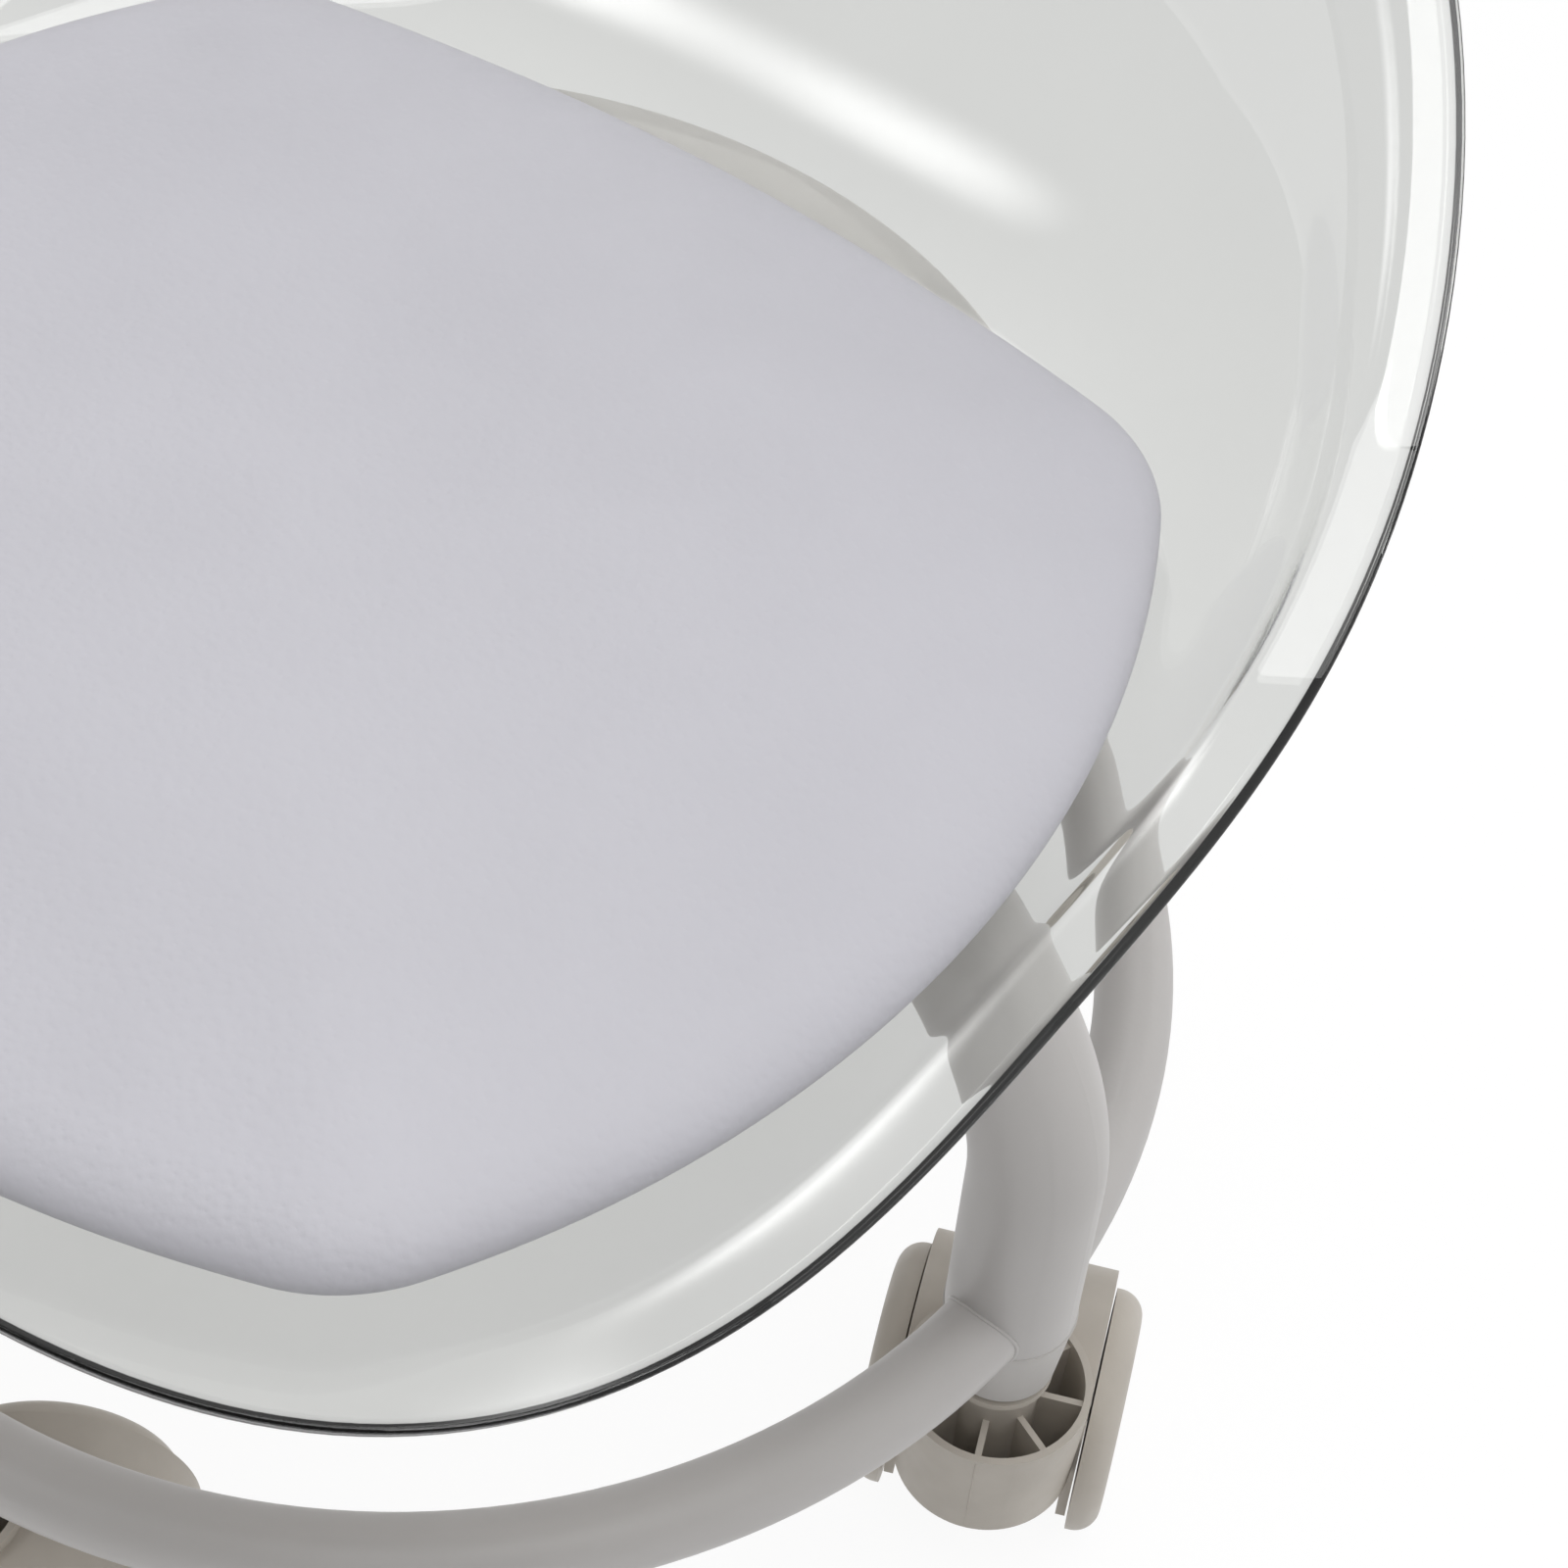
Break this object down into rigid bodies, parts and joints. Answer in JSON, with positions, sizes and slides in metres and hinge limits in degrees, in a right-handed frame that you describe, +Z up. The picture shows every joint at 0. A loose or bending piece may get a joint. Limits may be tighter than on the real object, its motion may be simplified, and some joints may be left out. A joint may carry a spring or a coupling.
{
  "type": "rolling stool",
  "caption": "Low rolling stool: a clear moulded bucket seat with a thin leather pad on a bent-tube base with a foot ring and swivelling twin-wheel casters.",
  "frame": {"origin": "on the floor under the middle of the base, where the four legs' lines cross", "axes": "+Z up, the sitter faces -Y and the seat's high back is on +Y"},
  "size_m": [0.3628, 0.3554, 0.3361],
  "materials": {
    "clear_shell": "clear moulded polycarbonate with a faint grey-green tint, polished",
    "pad_leather": "pale lilac-grey coated leather with a fine grain",
    "foam": "polyurethane foam",
    "plywood": "plain plywood",
    "zinc_steel": "zinc-plated steel",
    "frame_coat": "satin light warm-grey powder coat",
    "plug_plastic": "moulded nylon, satin",
    "caster_plastic": "moulded nylon, satin warm grey",
    "wheel_plastic": "moulded nylon, satin warm grey"
  },
  "bodies": {
    "base": {"seat_shell": "clear_shell", "pad_cover": "pad_leather", "pad_t_nuts": "zinc_steel", "pad_board": "plywood", "pad_foam": "foam", "seat_bolts": "zinc_steel", "seat_washers": "zinc_steel", "mounting_plate": "frame_coat", "frame_hub": "frame_coat", "leg_right": "frame_coat", "leg_back": "frame_coat", "leg_left": "frame_coat", "leg_front": "frame_coat", "ring_back_right": "frame_coat", "ring_back_left": "frame_coat", "ring_front_left": "frame_coat", "ring_front_right": "frame_coat", "plug_right": "plug_plastic", "stem_right": "zinc_steel", "grip_ring_right": "zinc_steel", "plug_back": "plug_plastic", "stem_back": "zinc_steel", "grip_ring_back": "zinc_steel", "plug_left": "plug_plastic", "stem_left": "zinc_steel", "grip_ring_left": "zinc_steel", "plug_front": "plug_plastic", "stem_front": "zinc_steel", "grip_ring_front": "zinc_steel"},
    "caster_right": {"caster_housing_right": "caster_plastic", "caster_axle_right": "zinc_steel"},
    "wheel_right_a": {"caster_wheel_right_a": "wheel_plastic"},
    "wheel_right_b": {"caster_wheel_right_b": "wheel_plastic"},
    "caster_back": {"caster_housing_back": "caster_plastic", "caster_axle_back": "zinc_steel"},
    "wheel_back_a": {"caster_wheel_back_a": "wheel_plastic"},
    "wheel_back_b": {"caster_wheel_back_b": "wheel_plastic"},
    "caster_left": {"caster_housing_left": "caster_plastic", "caster_axle_left": "zinc_steel"},
    "wheel_left_a": {"caster_wheel_left_a": "wheel_plastic"},
    "wheel_left_b": {"caster_wheel_left_b": "wheel_plastic"},
    "caster_front": {"caster_housing_front": "caster_plastic", "caster_axle_front": "zinc_steel"},
    "wheel_front_a": {"caster_wheel_front_a": "wheel_plastic"},
    "wheel_front_b": {"caster_wheel_front_b": "wheel_plastic"}
  },
  "joints": [
    {"name": "swivel_right", "type": "hinge", "parent": "base", "child": "caster_right", "pos_m": [0.145, 0, 0.05], "axis": [0, 0, 1], "continuous": true},
    {"name": "roll_right_a", "type": "hinge", "parent": "caster_right", "child": "wheel_right_a", "pos_m": [0.13808, 0.01662, 0.025], "axis": [-0.9232, -0.3843, 0], "continuous": true},
    {"name": "roll_right_b", "type": "hinge", "parent": "caster_right", "child": "wheel_right_b", "pos_m": [0.13808, 0.01662, 0.025], "axis": [-0.9232, -0.3843, 0], "continuous": true},
    {"name": "swivel_back", "type": "hinge", "parent": "base", "child": "caster_back", "pos_m": [0, 0.145, 0.05], "axis": [0, 0, 1], "continuous": true},
    {"name": "roll_back_a", "type": "hinge", "parent": "caster_back", "child": "wheel_back_a", "pos_m": [0.01691, 0.15116, 0.025], "axis": [-0.342, 0.9397, 0], "continuous": true},
    {"name": "roll_back_b", "type": "hinge", "parent": "caster_back", "child": "wheel_back_b", "pos_m": [0.01691, 0.15116, 0.025], "axis": [-0.342, 0.9397, 0], "continuous": true},
    {"name": "swivel_left", "type": "hinge", "parent": "base", "child": "caster_left", "pos_m": [-0.145, 0, 0.05], "axis": [0, 0, 1], "continuous": true},
    {"name": "roll_left_a", "type": "hinge", "parent": "caster_left", "child": "wheel_left_a", "pos_m": [-0.15879, 0.01157, 0.025], "axis": [-0.6428, -0.766, 0], "continuous": true},
    {"name": "roll_left_b", "type": "hinge", "parent": "caster_left", "child": "wheel_left_b", "pos_m": [-0.15879, 0.01157, 0.025], "axis": [-0.6428, -0.766, 0], "continuous": true},
    {"name": "swivel_front", "type": "hinge", "parent": "base", "child": "caster_front", "pos_m": [0, -0.145, 0.05], "axis": [0, 0, 1], "continuous": true},
    {"name": "roll_front_a", "type": "hinge", "parent": "caster_front", "child": "wheel_front_a", "pos_m": [0.01474, -0.13468, 0.025], "axis": [-0.5736, 0.8192, 0], "continuous": true},
    {"name": "roll_front_b", "type": "hinge", "parent": "caster_front", "child": "wheel_front_b", "pos_m": [0.01474, -0.13468, 0.025], "axis": [-0.5736, 0.8192, 0], "continuous": true}
  ]
}
